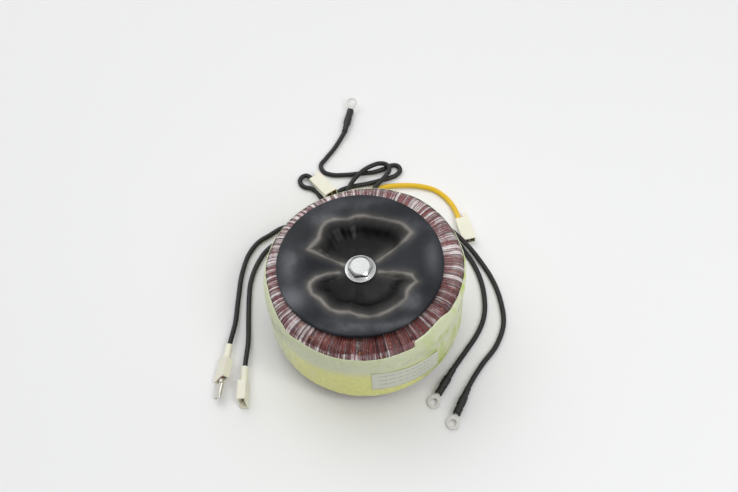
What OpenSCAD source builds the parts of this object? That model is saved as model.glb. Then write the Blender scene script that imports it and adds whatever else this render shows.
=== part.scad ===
// Toroidal mains transformer, standing on its lower mounting dish, with its seven leads laid out.
// Millimetres, +Z up. The origin is on the floor, under the centre of the wound ring.

/* [Wound ring] */
// Outer radius of the finished ring, without its side tape
ring_r = 56; // [52:0.5:62]
// Radius of the hole through the finished ring
hole_r = 24; // [22:0.5:26]
// Height of the finished ring
ring_h = 58; // [54:0.5:70]
// Corner radius of the section at the outside of the base
heel_r = 13.5; // [11:0.5:14]
// Corner radius of the section at the outside of the top
shoulder_r = 9.5; // [8:0.5:12]
// Corner radius of the section where the top turns into the hole
throat_r = 11; // [9:0.5:12]
// Corner radius of the section where the base turns into the hole
foot_r = 10; // [8:0.5:11]

/* [Layers] */
// Number of overlapping bands in the clear outer film
film_bands = 60; // [40:1:72]
// How far the start of a film band stands over the end of the last one
film_step = 0.3; // [0.1:0.05:0.4]
// Least thickness of the film over the wires
film_t = 0.3; // [0.2:0.05:0.5]
// Number of ridges that the wires of the outer winding make round the ring
wire_ridges = 80; // [60:1:90]
// Height of those ridges
ridge_h = 0.7; // [0.3:0.1:1]
// Angle that the outer winding leaves open at the back, between its two ends
winding_gap = 7; // [5:1:9]
// Build of the outer winding on the outside of the ring
outer_build = 3.2; // [2.5:0.1:4]
// Build of the inner winding on the outside of the ring
inner_build = 3; // [2:0.1:3.5]
// Thickness of each sealed layer of insulation
insulation_t = 0.8; // [0.5:0.1:1.2]
// How much thicker a winding lies inside the hole than outside
hole_build_ratio = 1.5; // [1.2:0.1:1.7]
// Thickness of the side tape
tape_t = 0.35; // [0.2:0.05:0.5]
// How far the side tape turns in over the shoulder, in degrees of its corner
tape_turn = 38; // [25:1:60]
// Height of the paper label
label_h = 20; // [12:1:24]
// Angle round the ring that the label covers
label_angle = 42; // [20:1:60]
// Height of the label's lower edge over the floor
label_z = 24; // [20:1:30]
// Thickness of the label
label_t = 0.15; // [0.1:0.05:0.3]

/* [Pads and dish] */
// Radius of the rubber pads
pad_r = 46.4; // [42:0.2:48]
// Thickness of the rubber pads
pad_t = 2.8; // [2:0.1:3.5]
// Radius of the lower mounting dish
dish_r = 40; // [36:0.5:44]
// Sheet thickness of the dish
dish_t = 1.5; // [1:0.1:2]
// Height of the pressed centre of the dish
dish_rise = 14.5; // [14:0.1:16]
// Radius of the flat centre of the dish
dish_floor_r = 13; // [12:0.5:13.5]
// Radius where the dish starts to rise from its rim
dish_bend_r = 22; // [20:0.5:23]
// Drop of the top pad from its rim to the bolt's flange
pad_drop = 6.4; // [5.5:0.1:8]

/* [Fixing bolt] */
// Thread diameter of the bolt
bolt_d = 8; // [8:1:10]
// Length of thread that stands out of the nut
bolt_tail = 0.85; // [0.5:0.05:2.5]
// Diameter of the bolt's flange
flange_d = 17.2; // [16:0.1:19]
// Width across the flats of head and nut
flats = 12; // [12:1:14]
// Height of the head with its flange
head_h = 4.4; // [4:0.1:8]
// Height of the nut
nut_h = 6.5; // [6:0.1:7]
// Radial clearance round the bolt
bolt_gap = 0.3; // [0.1:0.05:0.5]
// Shift of bolt, pads and dish from the ring's own centre
fixing_shift = [-1.5, 1]; // [-2:0.5:2]

/* [Leads] */
// Diameter of the black leads
lead_d = 3; // [2.6:0.1:3.2]
// Diameter of the yellow lead
yellow_d = 3.2; // [2.8:0.1:3.4]
// Length of each lead inside its connector or shrink sleeve
lead_entry = 7; // [5:0.5:7]

/* [Connectors] */
// Length of the round neck of a slim housing
neck_len = 9; // [8:0.5:12]
// Radius of the neck
neck_r = 2.2; // [2.1:0.1:2.4]
// Length of the slim housing's body on its shorter side
shell_len = 12; // [11:0.5:16]
// Width of the slim housing's body
shell_w = 8; // [7.4:0.1:9]
// Thickness of the housings
shell_t = 4.8; // [4.5:0.1:5.5]
// How far the slanted mouth stands further out on one side
mouth_slant = 3.3; // [2:0.1:4]
// Wall of the housings
wall = 0.75; // [0.5:0.05:0.9]
// Length of the twin housing of the yellow lead
twin_len = 16.5; // [16:0.5:18]
// Length of the twin housing of the black lead
back_twin_len = 21; // [18:0.5:22]
// Width of the twin housing over both cells
twin_w = 8.4; // [8:0.1:10]
// Width of a push-on terminal in the slim housings
tab_w = 5.6; // [5:0.1:5.8]
// Length of a push-on terminal without its crimp
tab_len = 9; // [6.5:0.5:9]
// How far the terminal of the outer left lead has been pushed out of its housing
pushed_out = 13.5; // [0:0.5:14]

/* [Ring terminals] */
// Outer radius of the eye
eye_r = 3.6; // [3.4:0.1:4.5]
// Radius of the hole in the eye
eye_hole_r = 2.15; // [1.6:0.05:2.4]
// Thickness of the terminal's sheet
eye_t = 0.8; // [0.6:0.1:1]
// Angle by which the eye is bent out of line with its barrel
eye_bend = 20; // [0:1:20]
// Length of the shrink sleeve over crimp and lead
shrink_len = 18.5; // [16:0.5:20]
// Greatest radius of the shrink sleeve
shrink_r = 2.55; // [2.4:0.05:2.6]

/* [Hidden] */

fine = 96;               // facets of a full circle, which the exact rebuild makes round
seat = 0.05;             // clearance between faces that rest on each other
fit = 0.2;               // clearance of a round layer inside a faceted one

ring_z0 = dish_t + pad_t + seat;
ring_z1 = ring_z0 + ring_h;
corner_chords = [2, 4, 2, 2];   // chords of the heel, shoulder, throat and foot
loop_n = corner_chords[0] + corner_chords[1] + corner_chords[2] + corner_chords[3] + 4;

/* Section loops: the rounded outline of the ring's section, counter-clockwise from its base.
   out, in and end are the insets of the outer wall, the hole's wall and the two ends. */
function corner(centre, r, from, chords) =
    [for (k = [0:chords]) centre + r * [cos(from + 90 * k / chords), sin(from + 90 * k / chords)]];

function section_loop(out, in, end) =
    let (r1 = ring_r - out, r0 = hole_r + in, z0 = ring_z0 + end, z1 = ring_z1 - end)
    let (a = max(2, heel_r - out), b = max(2, shoulder_r - out))
    let (c = max(2, throat_r - in), d = max(2, foot_r - in))
    concat(
        corner([r1 - a, z0 + a], a, -90, corner_chords[0]),
        corner([r1 - b, z1 - b], b, 0, corner_chords[1]),
        corner([r0 + c, z1 - c], c, 90, corner_chords[2]),
        corner([r0 + d, z0 + d], d, 180, corner_chords[3]));

function even_loop(inset) = section_loop(inset, inset, inset);

// Insets [out, in, end] of the border under each layer, from the film inwards
function under(above, build) =
    [above[0] + build, above[1] + build * hole_build_ratio, above[2] + build * (1 + hole_build_ratio) / 2];
function under_even(above, t) = [above[0] + t, above[1] + t, above[2] + t];

film_sag = ring_r * (1 - cos(180 / film_bands));
wire_peak = film_step + film_t + film_sag + seat;
under_outer = under([wire_peak, wire_peak, wire_peak], outer_build);
insulation_top = under_even(under_outer, fit);
under_insulation = under_even(insulation_top, insulation_t);
under_inner = under(under_insulation, inner_build);
core_skin = under_even(under_inner, insulation_t);

function loop_of(insets) = section_loop(insets[0], insets[1], insets[2]);

// A section loop carried round the Z axis: one ring of points for each azimuth
function around(azimuths, loops) =
    [for (k = [0:len(azimuths) - 1]) for (p = loops[k])
        [p[0] * cos(azimuths[k]), p[0] * sin(azimuths[k]), p[1]]];

function two(a, b, c, d) = [[a, b, c], [a, c, d]];
function flat_list(lists) = [for (l = lists) for (x = l) x];

// Height and outward lean of the slot in the heel where the leads come out
exit_drop = 22.5;
heel_c = [ring_r - heel_r, ring_z0 + heel_r];
exit_mid = let (r = (heel_r - wire_peak) * cos(22.5)) heel_c + r * [cos(exit_drop), -sin(exit_drop)];

// Film bands, of 360 / film_bands degrees each, that are open for a lead, counted from +X
band = 360 / film_bands;
exit_azimuths = [44.8, 56.8, 74.8, 86.8, 104.8, 116.8, 128.8];
exit_bands = [for (a = exit_azimuths) floor(a / band)];
function band_mid(k) = band * (k + 0.467);
exits = [for (k = exit_bands) band_mid(k)];

/* Lead routes. Each starts square to the heel of the winding, falls to the floor and ends in its
   connector or sleeve. The points are the middle of the lead. */
function exit_point(k, along) =
    let (r = exit_mid[0] + along * cos(exit_drop), z = exit_mid[1] - along * sin(exit_drop))
    [r * cos(exits[k]), r * sin(exits[k]), z];
function exit_start(k) = [exit_point(k, 0.3), exit_point(k, 8)];

route_right_inner = [
    [49.5, 47.5, 7], [55.5, 48.8, 4], [60, 46.5, 2.2], [63.1, 41.4, 1.5], [67.2, 33.2, 1.5], [70.5, 22.6, 1.5],
    [71.8, 8, 1.5], [70, -5, 1.5], [67.6, -11, 1.5], [64.2, -16.8, 1.5], [57, -26.4, 1.7]];
route_right_outer = [
    [38.5, 56.5, 8.5], [45, 59.5, 7.5], [52, 57.5, 7.2], [59, 50.5, 7], [65.5, 43, 5], [72.5, 32.5, 2.2],
    [78.1, 19.8, 1.5], [81.3, 4.8, 1.5], [81.1, -10.5, 1.5], [75, -24.5, 1.5], [65.5, -35.8, 1.8]];
route_back_plug = [
    [17.5, 67, 6.2], [15.5, 76, 4.9], [11.5, 84, 4.8], [10.2, 89.5, 4.9], [12, 93.4, 4.8],
    [15.2, 96.9, 4.7], [18.6, 100.8, 4.7], [20.8, 105.2, 4.7], [19.4, 109, 4.7], [15, 110.5, 4.6],
    [9.4, 109, 4.6], [4.2, 106, 4.7], [-0.2, 101.9, 4.7], [-3.9, 97, 4.9], [-7.4, 91, 4.1],
    [-11, 85, 3.3], [-16.4, 81.6, 5.2], [-21.2, 83.4, 4.3], [-24.6, 88.8, 1.5], [-27.6, 94.1, 1.5],
    [-31, 96.6, 1.5], [-34.9, 98, 1.5], [-37.5, 100.8, 1.6], [-37.6, 104.2, 1.8], [-34.9, 106.3, 2.3]];
route_yellow = [
    [2.8, 68.5, 6.2], [1.6, 77, 2.6], [2.8, 85, 1.6], [7.5, 91, 1.6], [14.5, 93.3, 1.6], [27.5, 94, 1.6],
    [41, 92, 1.6], [48, 89.2, 1.6], [53.6, 84.5, 1.6], [57.8, 78.6, 1.7], [60.4, 72.4, 2.1]];
route_back_ring = [
    [-18.5, 67, 6.4], [-19.8, 75, 2.2], [-18, 83, 1.5], [-16.2, 88.8, 1.5], [-12.2, 93.2, 1.5],
    [-6, 95.4, 1.5], [5.3, 97.1, 1.5], [15.5, 99.2, 1.5], [21, 100.6, 1.5], [25.4, 102.6, 1.5],
    [27.9, 106, 1.5], [26.4, 109.8, 1.5], [22.4, 110.3, 1.5], [17.2, 108, 1.5], [10.6, 106, 1.5],
    [3, 105.8, 1.5], [-9.2, 105.4, 1.5], [-16.8, 106.2, 1.5], [-22.2, 109.2, 1.5], [-23.8, 114, 1.5],
    [-20.3, 119.5, 1.5], [-14.7, 126.9, 1.5], [-10.3, 133.8, 1.9]];
route_left_outer = [
    [-30.5, 60.8, 7], [-35.5, 66, 4], [-42.8, 68.8, 2], [-51, 67.4, 1.5], [-58.1, 63.1, 1.5], [-65.2, 58.5, 1.5],
    [-71, 50.7, 1.5], [-75.2, 38.3, 1.5], [-77.7, 20.6, 1.5], [-78.5, 12.3, 1.8], [-79.2, 4, 2.4]];
route_left_inner = [
    [-43.2, 52.6, 7], [-49, 56, 4], [-55, 55.6, 2], [-60.6, 51.4, 1.5], [-65.3, 44, 1.5],
    [-69, 34.8, 1.5], [-70.6, 27.6, 1.5], [-71.2, 20, 1.5], [-71.5, 12, 1.5], [-71.6, 4, 1.5], [-71.6, -10, 2.4]];

// Each lead's far end: [where it enters its connector, [roll, pitch, yaw] of the connector]
end_right_inner = [[48.2, -38, 2.9], [0, 4.5, -124]];
end_right_outer = [[55.6, -50.2, 2.9], [0, 4.5, -118]];
end_back_plug = [[-29.2, 102.2, 3.4], [0, 16, -59.5]];
end_yellow = [[62.2, 64.2, 2.5], [0, 0, -80]];
end_back_ring = [[-6.9, 139.8, 2.6], [180, 0, 74.5]];
end_left_outer = [[-82.5, -13.4, 4.7], [-43, 0, -101.5]];
end_left_inner = [[-73.3, -28.3, 4.4], [10, 0, -93.5]];

function heading(end) =
    [cos(end[1][1]) * cos(end[1][2]), cos(end[1][1]) * sin(end[1][2]), sin(end[1][1])];
function whole_route(k, points, end, entry) =
    concat(exit_start(k), points, [end[0], end[0] + entry * heading(end)]);

/* Sweeps an eight-sided tube along the points of a route */
function unit(v) = v / norm(v);
function tangent(p, k) =
    unit((k < len(p) - 1 ? p[k + 1] - p[k] : [0, 0, 0]) + (k > 0 ? p[k] - p[k - 1] : [0, 0, 0]));
function tube_ring(p, k, r, sides) =
    let (t = tangent(p, k), s = unit(cross(t, [0, 0, 1])), u = cross(s, t))
    [for (m = [0:sides - 1]) p[k] + r * (s * cos(360 * m / sides) + u * sin(360 * m / sides))];

module tube(points, d) {
    sides = 8;
    n = len(points);
    rings = flat_list([for (k = [0:n - 1]) tube_ring(points, k, d / 2, sides)]);
    walls = [for (k = [0:n - 2]) for (m = [0:sides - 1])
        let (a = k * sides + m, b = k * sides + (m + 1) % sides) two(a, a + sides, b + sides, b)];
    caps = [[for (m = [0:sides - 1]) m], [for (m = [sides - 1:-1:0]) (n - 1) * sides + m]];
    polyhedron(rings, concat(flat_list(walls), caps), convexity = 8);
}

module at_end(end) {
    translate(end[0]) rotate([end[1][0], -end[1][1], end[1][2]]) children();
}

module around_x(r, from, to) {
    translate([from, 0, 0]) rotate([0, 90, 0]) cylinder(r = r, h = to - from, $fn = 48);
}

/* ---- Core and windings ---- */

module solid_ring(loop) {
    rotate_extrude($fn = fine) polygon(loop);
}

module shell_ring(loop, cavity) {
    rotate_extrude($fn = fine) difference() {
        polygon(loop);
        polygon(cavity);
    }
}

// One long strip of silicon steel, wound into a ring
module wound_core() {
    color("dimgray") solid_ring(loop_of(under_even(core_skin, seat)));
}

module core_insulation() {
    color("wheat") shell_ring(loop_of(under_even(under_inner, seat)), loop_of(core_skin));
}

module inner_winding() {
    color("peru") shell_ring(loop_of(under_even(under_insulation, seat)), loop_of(under_inner));
}

module winding_insulation() {
    color("khaki") shell_ring(loop_of(insulation_top), loop_of(under_insulation));
}

// The outer winding: ridges of wire all round, open at the back between its first and last turn
module outer_winding() {
    gap_mid = (exits[3] + exits[4]) / 2;
    sweep = 360 - winding_gap;
    steps = 2 * wire_ridges;
    inner_steps = 40;
    from = gap_mid + winding_gap / 2;
    az = [for (k = [0:steps]) from + sweep * k / steps];
    az_in = [for (k = [0:inner_steps]) from + sweep * k / inner_steps];
    skin = around(az, [for (k = [0:steps]) even_loop(wire_peak + (k % 2 == 1 ? 0 : ridge_h))]);
    bore = around(az_in, [for (k = az_in) loop_of(under_outer)]);
    first = len(skin);
    function s(k, j) = k * loop_n + j % loop_n;
    function b(k, j) = first + k * loop_n + j % loop_n;
    faces = concat(
        [for (k = [0:steps - 1]) for (j = [0:loop_n - 1]) two(s(k, j), s(k, j + 1), s(k + 1, j + 1), s(k + 1, j))],
        [for (k = [0:inner_steps - 1]) for (j = [0:loop_n - 1])
            two(b(k, j), b(k + 1, j), b(k + 1, j + 1), b(k, j + 1))],
        [for (j = [0:loop_n - 1]) two(s(0, j + 1), s(0, j), b(0, j), b(0, j + 1))],
        [for (j = [0:loop_n - 1])
            two(s(steps, j), s(steps, j + 1), b(inner_steps, j + 1), b(inner_steps, j))]);
    color("saddlebrown") polyhedron(concat(skin, bore), flat_list(faces), convexity = 10);
}

// The clear film: bands that each start over the end of the last one, with slots for the leads
module film_wrap() {
    n = 2 * film_bands;
    slot_j = 1;             // the cell of the section between 45 degrees of the heel and the side wall
    az = [for (k = [0:film_bands - 1]) each [k * band, k * band + band * 0.934]];
    skin = around(az, [for (k = [0:n - 1]) even_loop(k % 2 == 0 ? 0 : film_step)]);
    bore = around(az, [for (k = az) even_loop(film_step + film_t)]);
    function s(k, j) = (k % n) * loop_n + j % loop_n;
    function b(k, j) = n * loop_n + s(k, j);
    function is_slot(k, j) = j == slot_j && k % 2 == 0 && len(search(k / 2, exit_bands)) > 0;
    function rim(k, j) = [[k, j], [k, j + 1], [k + 1, j + 1], [k + 1, j]];
    cells = [for (k = [0:n - 1]) for (j = [0:loop_n - 1]) if (!is_slot(k, j)) [k, j]];
    slots = [for (k = [0:n - 1]) for (j = [0:loop_n - 1]) if (is_slot(k, j)) rim(k, j)];
    faces = concat(
        [for (c = cells) let (k = c[0], j = c[1]) two(s(k, j), s(k, j + 1), s(k + 1, j + 1), s(k + 1, j))],
        [for (c = cells) let (k = c[0], j = c[1]) two(b(k, j), b(k + 1, j), b(k + 1, j + 1), b(k, j + 1))],
        [for (q = slots) for (m = [0:3]) let (e = q[m], f = q[(m + 1) % 4])
            two(s(e[0], e[1]), s(f[0], f[1]), b(f[0], f[1]), b(e[0], e[1]))]);
    color("mistyrose", 0.5) polyhedron(concat(skin, bore), flat_list(faces), convexity = 10);
}

// The tape round the side, from under the heel to over the shoulder
module side_tape() {
    function band_line(out) = concat(
        [for (a = [-45, 0]) heel_c + (heel_r + out) * [cos(a), sin(a)]],
        [for (k = [0:4]) let (a = tape_turn * k / 4)
            [ring_r - shoulder_r, ring_z1 - shoulder_r] + (shoulder_r + out) * [cos(a), sin(a)]]);
    inner = band_line(seat);
    outer = band_line(tape_t);
    n = len(outer);
    color("yellowgreen") difference() {
        rotate_extrude($fn = fine) polygon(concat(outer, [for (k = [n - 1:-1:0]) inner[k]]));
        for (k = [0:len(exits) - 1])
            translate(exit_point(k, 0)) rotate([0, 90 + exit_drop, exits[k]])
                cylinder(r = yellow_d / 2 + 0.4, h = 6, $fn = 32);
    }
}

module label() {
    r = ring_r + tape_t + 0.02;
    color("whitesmoke") rotate([0, 0, -89.5])
        rotate_extrude(angle = label_angle, $fn = fine) translate([r, label_z]) square([label_t, label_h]);
}

/* ---- Pads, dish and bolt ---- */

module at_fixing() {
    translate([fixing_shift[0], fixing_shift[1], 0]) children();
}

// Underside heights of the top pad over its centre, by radius: in its two pits and on its two ridges
pit_line = [[0, 0], [10, 0], [16, 0.07], [21, 0.22], [24, 0.46], [26, 0.72], [28, 0.88], [31, 0.97], [33.5, 1], [60, 1]];
ridge_line = [[0, 0], [10, 0], [16, 0.38], [21, 0.64], [24, 0.77], [26, 0.86], [28, 0.92], [31, 0.98], [33.5, 1], [60, 1]];
ridge_mid = [5, 178.5];      // azimuths of the two ridges
ridge_half = [19, 16.5];      // half widths of the ridges
ridge_fall = 8;             // angle over which a ridge falls into a pit

function off_mid(a, m) = abs((a - m + 540) % 360 - 180);
function on_ridge(a) =
    max([for (k = [0, 1]) min(1, max(0, (ridge_half[k] + ridge_fall - off_mid(a, ridge_mid[k])) / ridge_fall))]);
function pad_rise(r, a) =
    let (w = on_ridge(a)) pad_drop * ((1 - w) * lookup(r, pit_line) + w * lookup(r, ridge_line));

// The upper rubber pad, drawn down into the hole by the bolt's flange
module top_pad() {
    az = [for (k = [0:47]) 7.5 * k];
    radii = [bolt_d / 2 + bolt_gap, 10, 14, 18, 21.5, 24.5, 28, 33.5, pad_r];
    n = len(az);
    m = len(radii);
    base = ring_z1 + seat - pad_drop;
    function p(r, a, up) = [r * cos(a), r * sin(a), base + pad_rise(r, a) + up];
    low = [for (r = radii) for (a = az) p(r, a, 0)];
    high = [for (r = radii) for (a = az) p(r, a, pad_t)];
    function l(i, k) = i * n + k % n;
    function h(i, k) = n * m + l(i, k);
    faces = concat(
        [for (i = [0:m - 2]) for (k = [0:n - 1]) two(h(i, k), h(i, k + 1), h(i + 1, k + 1), h(i + 1, k))],
        [for (i = [0:m - 2]) for (k = [0:n - 1]) two(l(i, k), l(i + 1, k), l(i + 1, k + 1), l(i, k + 1))],
        [for (k = [0:n - 1]) two(l(0, k), l(0, k + 1), h(0, k + 1), h(0, k))],
        [for (k = [0:n - 1]) two(l(m - 1, k), h(m - 1, k), h(m - 1, k + 1), l(m - 1, k + 1))]);
    color("#2b2e33") at_fixing() polyhedron(concat(low, high), flat_list(faces), convexity = 6);
}

module bottom_pad() {
    color("#2b2e33") at_fixing() translate([0, 0, dish_t]) difference() {
        cylinder(r = pad_r, h = pad_t, $fn = fine);
        translate([0, 0, -1]) cylinder(r = dish_bend_r + 3, h = pad_t + 2, $fn = fine);
    }
}

// Pressed steel dish: a flat rim on the floor and a raised centre that holds the bolt
module mounting_dish() {
    lower = [[dish_r, 0], [dish_bend_r + 1.5, 0], [dish_bend_r, 1], [dish_floor_r + 1, dish_rise - dish_t - 1],
        [dish_floor_r - 0.5, dish_rise - dish_t], [bolt_d / 2 + bolt_gap, dish_rise - dish_t]];
    upper = [[bolt_d / 2 + bolt_gap, dish_rise], [dish_floor_r, dish_rise], [dish_floor_r + 2, dish_rise - 1],
        [dish_bend_r + 1, dish_t + 1], [dish_bend_r + 2.2, dish_t], [dish_r, dish_t]];
    color("lightgray") at_fixing() rotate_extrude($fn = fine) polygon(concat(lower, upper));
}

washer_t = 1.6;
spring_t = 2;
flange_z = ring_z1 + seat - pad_drop + pad_t + seat;
under_dish = dish_rise - dish_t;
under_nut = under_dish - washer_t - spring_t - nut_h;
bolt_len = flange_z - under_nut + bolt_tail;

// Flanged hexagon bolt, head up
module flange_bolt() {
    flange_h = 0.9;
    across = flats / cos(30);
    top_d = 0.86 * flats;           // the chamfer's circle on the head's top
    color("silver") at_fixing() translate([0, 0, flange_z]) {
        cylinder(d = flange_d, h = flange_h, $fn = fine);
        translate([0, 0, flange_h]) cylinder(d1 = flange_d - 0.4, d2 = flats, h = 0.8, $fn = fine);
        intersection() {
            cylinder(d = across, h = head_h, $fn = 6);
            translate([0, 0, -1]) cylinder(d1 = top_d + 2 * (head_h + 1) / tan(30), d2 = top_d, h = head_h + 1, $fn = fine);
        }
        translate([0, 0, -bolt_len]) cylinder(d = bolt_d, h = bolt_len, $fn = fine);
    }
}

module plain_ring(outer_d, h) {
    difference() {
        cylinder(d = outer_d, h = h, $fn = fine);
        translate([0, 0, -1]) cylinder(d = bolt_d + 2 * bolt_gap, h = h + 2, $fn = fine);
    }
}

module flat_washer() {
    color("silver") at_fixing() translate([0, 0, under_dish - washer_t]) plain_ring(2 * bolt_d, washer_t);
}

module spring_washer() {
    color("gray") at_fixing() translate([0, 0, under_dish - washer_t - spring_t]) difference() {
        plain_ring(1.75 * bolt_d, spring_t);
        translate([bolt_d * 0.7, 0, spring_t / 2]) rotate([25, 0, 0]) cube([bolt_d, 0.8, 2 * spring_t], center = true);
    }
}

module nut() {
    color("silver") at_fixing() translate([0, 0, under_nut]) difference() {
        cylinder(d = flats / cos(30), h = nut_h, $fn = 6);
        translate([0, 0, -1]) cylinder(d = bolt_d + 0.1, h = nut_h + 2, $fn = fine);
    }
}

/* ---- Leads ---- */

module lead_right_inner() { color("#222222") tube(whole_route(0, route_right_inner, end_right_inner, lead_entry), lead_d); }
module lead_right_outer() { color("#222222") tube(whole_route(1, route_right_outer, end_right_outer, lead_entry), lead_d); }
module lead_back_plug() { color("#222222") tube(whole_route(2, route_back_plug, end_back_plug, lead_entry), lead_d); }
module lead_yellow() { color("gold") tube(whole_route(3, route_yellow, end_yellow, lead_entry), yellow_d); }
module lead_back_ring() { color("#222222") tube(whole_route(4, route_back_ring, end_back_ring, lead_entry), lead_d); }
module lead_left_outer() {
    color("#222222") tube(whole_route(5, route_left_outer, end_left_outer, lead_entry + pushed_out), lead_d);
}
module lead_left_inner() { color("#222222") tube(whole_route(6, route_left_inner, end_left_inner, lead_entry), lead_d); }

/* ---- Connectors: each is drawn along +X from the point where its lead goes in ---- */

// Slim housing: a round neck, then a flat shell, wide along Z, whose mouth is cut on a slant
module slim_housing() {
    end_x = neck_len + shell_len;
    half = shell_w / 2;
    inside = half - wall;
    reach = 2 * mouth_slant;
    difference() {
        union() {
            around_x(neck_r, 0, neck_len + 1);
            rotate([90, 0, 0]) linear_extrude(shell_t, center = true)
                polygon([[neck_len, -half + 0.6], [neck_len + 0.6, -half], [end_x + mouth_slant, -half],
                    [end_x, half], [neck_len + 0.6, half], [neck_len, half - 0.6]]);
        }
        around_x(lead_d / 2 + seat, -1, neck_len + 3);
        translate([neck_len + 1.5, -shell_t / 2 + wall, -inside]) cube([shell_len + reach, shell_t - 2 * wall, 2 * inside]);
    }
}

// Push-on terminal: crimp barrel, flat web and two rolled edges, wide along Z
module push_on(from, width, length) {
    crimp_len = 3.6;
    curl = 0.95;
    sheet = 0.4;
    start = from + crimp_len + 1;
    around_x(lead_d / 2 - 0.1, from, from + crimp_len);
    translate([start - 1.5, -curl, -1]) cube([2, 2 * curl - 0.3, 2]);
    translate([start, -curl, -width / 2 + curl]) cube([length, sheet, width - 2 * curl]);
    for (side = [-1, 1])
        translate([0, 0, side * (width / 2 - curl)]) difference() {
            around_x(curl, start, start + length);
            translate([start - 1, -curl + sheet, side > 0 ? -2 * curl : 0]) cube([length + 2, 2 * curl, 2 * curl]);
            around_x(curl - sheet, start - 1, start + length + 1);
        }
}

// Twin housing: the cell of the lead and a second cell beside it, wide along Y, that reaches further back
module twin_housing(length) {
    cell = shell_t / 2;
    difference() {
        translate([0, 0, -shell_t / 2]) linear_extrude(shell_t)
            polygon([[0, -cell], [length, -cell], [length, twin_w - cell], [-1, twin_w - cell],
                [-3.5, twin_w - cell - 1.2], [-1.5, cell], [0, cell]]);
        around_x(yellow_d / 2 + seat, -1, lead_entry + 4);
        translate([lead_entry + 3, -cell + wall, -shell_t / 2 + wall])
            cube([length, shell_t - 2 * wall, shell_t - 2 * wall]);
        translate([lead_entry + 1, cell + wall / 2, -shell_t / 2 + wall])
            cube([length, twin_w - 2 * cell - 1.5 * wall, shell_t - 2 * wall]);
    }
}

module housing_left_outer() { color("ivory") at_end(end_left_outer) slim_housing(); }
module housing_left_inner() { color("ivory") at_end(end_left_inner) slim_housing(); }
module housing_back() { color("ivory") at_end(end_back_plug) twin_housing(back_twin_len); }
module housing_yellow() { color("ivory") at_end(end_yellow) twin_housing(twin_len); }

small_tab_w = 3;
small_tab_set = lead_entry + 5.6;   // from a twin housing's back to its terminal, and from the terminal to its mouth
module terminal_left_outer() { color("gainsboro") at_end(end_left_outer) push_on(lead_entry + pushed_out, tab_w, tab_len); }
module terminal_left_inner() { color("gainsboro") at_end(end_left_inner) push_on(lead_entry, tab_w, tab_len); }
module terminal_back() { color("gainsboro") at_end(end_back_plug) push_on(lead_entry, small_tab_w, back_twin_len - small_tab_set); }
module terminal_yellow() { color("gainsboro") at_end(end_yellow) push_on(lead_entry, small_tab_w, twin_len - small_tab_set); }

/* ---- Ring terminals and their shrink sleeves, drawn the same way ---- */

eye_reach = eye_r + 1.2;     // from the end of the sleeve to the middle of the eye
barrel_r = 1.75;
tongue_w = 2.4;
tongue_z = -1.35;            // underside of the tongue, in its barrel

module eye_terminal() {
    barrel_end = lead_entry + 6;
    fold = eye_t * tan(eye_bend / 2);
    around_x(barrel_r, lead_entry, barrel_end);
    rotate([90, 0, 0]) linear_extrude(tongue_w, center = true)
        polygon([[barrel_end - 1, tongue_z], [shrink_len, tongue_z],
            [shrink_len + cos(eye_bend), tongue_z - sin(eye_bend)],
            [shrink_len + cos(eye_bend) + eye_t * sin(eye_bend), tongue_z - sin(eye_bend) + eye_t * cos(eye_bend)],
            [shrink_len + fold, tongue_z + eye_t], [barrel_end - 1, tongue_z + eye_t]]);
    translate([shrink_len, 0, tongue_z]) rotate([0, eye_bend, 0]) difference() {
        union() {
            translate([eye_reach, 0, 0]) cylinder(r = eye_r, h = eye_t, $fn = 64);
            linear_extrude(eye_t)
                polygon([[0.6, -1.9], [eye_reach - 1.5, -eye_r + 0.4], [eye_reach - 1.5, eye_r - 0.4], [0.6, 1.9]]);
        }
        translate([eye_reach, 0, -1]) cylinder(r = eye_hole_r, h = eye_t + 2, $fn = 64);
    }
}

module shrink_sleeve() {
    lead_r = lead_d / 2 + seat;
    crimp_r = barrel_r + seat;
    outer = [[0, 1.8], [lead_entry - 1.5, 1.9], [lead_entry + 0.5, shrink_r], [lead_entry + 5, shrink_r],
        [lead_entry + 6.5, shrink_r - 0.25], [shrink_len, shrink_r - 0.2]];
    inner = [[shrink_len, crimp_r + 0.1], [lead_entry, crimp_r + 0.1], [lead_entry - 0.5, lead_r], [0, lead_r]];
    rotate([90, 0, 90]) rotate_extrude($fn = 48)
        polygon([for (p = concat(outer, inner)) [p[1], p[0]]]);
}

module eye_right_outer() { color("gainsboro") at_end(end_right_outer) eye_terminal(); }
module eye_right_inner() { color("gainsboro") at_end(end_right_inner) eye_terminal(); }
module eye_back() { color("gainsboro") at_end(end_back_ring) eye_terminal(); }
module shrink_right_outer() { color("#1a1a1a") at_end(end_right_outer) shrink_sleeve(); }
module shrink_right_inner() { color("#1a1a1a") at_end(end_right_inner) shrink_sleeve(); }
module shrink_back() { color("#1a1a1a") at_end(end_back_ring) shrink_sleeve(); }

wound_core();
core_insulation();
inner_winding();
winding_insulation();
outer_winding();
film_wrap();
side_tape();
label();
top_pad();
bottom_pad();
mounting_dish();
flange_bolt();
flat_washer();
spring_washer();
nut();
lead_left_outer();
lead_left_inner();
lead_right_outer();
lead_right_inner();
lead_back_ring();
lead_back_plug();
lead_yellow();
housing_left_outer();
housing_left_inner();
housing_back();
housing_yellow();
terminal_left_outer();
terminal_left_inner();
terminal_back();
terminal_yellow();
eye_right_outer();
eye_right_inner();
eye_back();
shrink_right_outer();
shrink_right_inner();
shrink_back();
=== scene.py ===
"""Looks of a toroidal transformer with its loose leads. Metres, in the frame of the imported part."""
import math

import bmesh
import bpy
from mathutils import Euler, Matrix, Vector, noise


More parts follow.
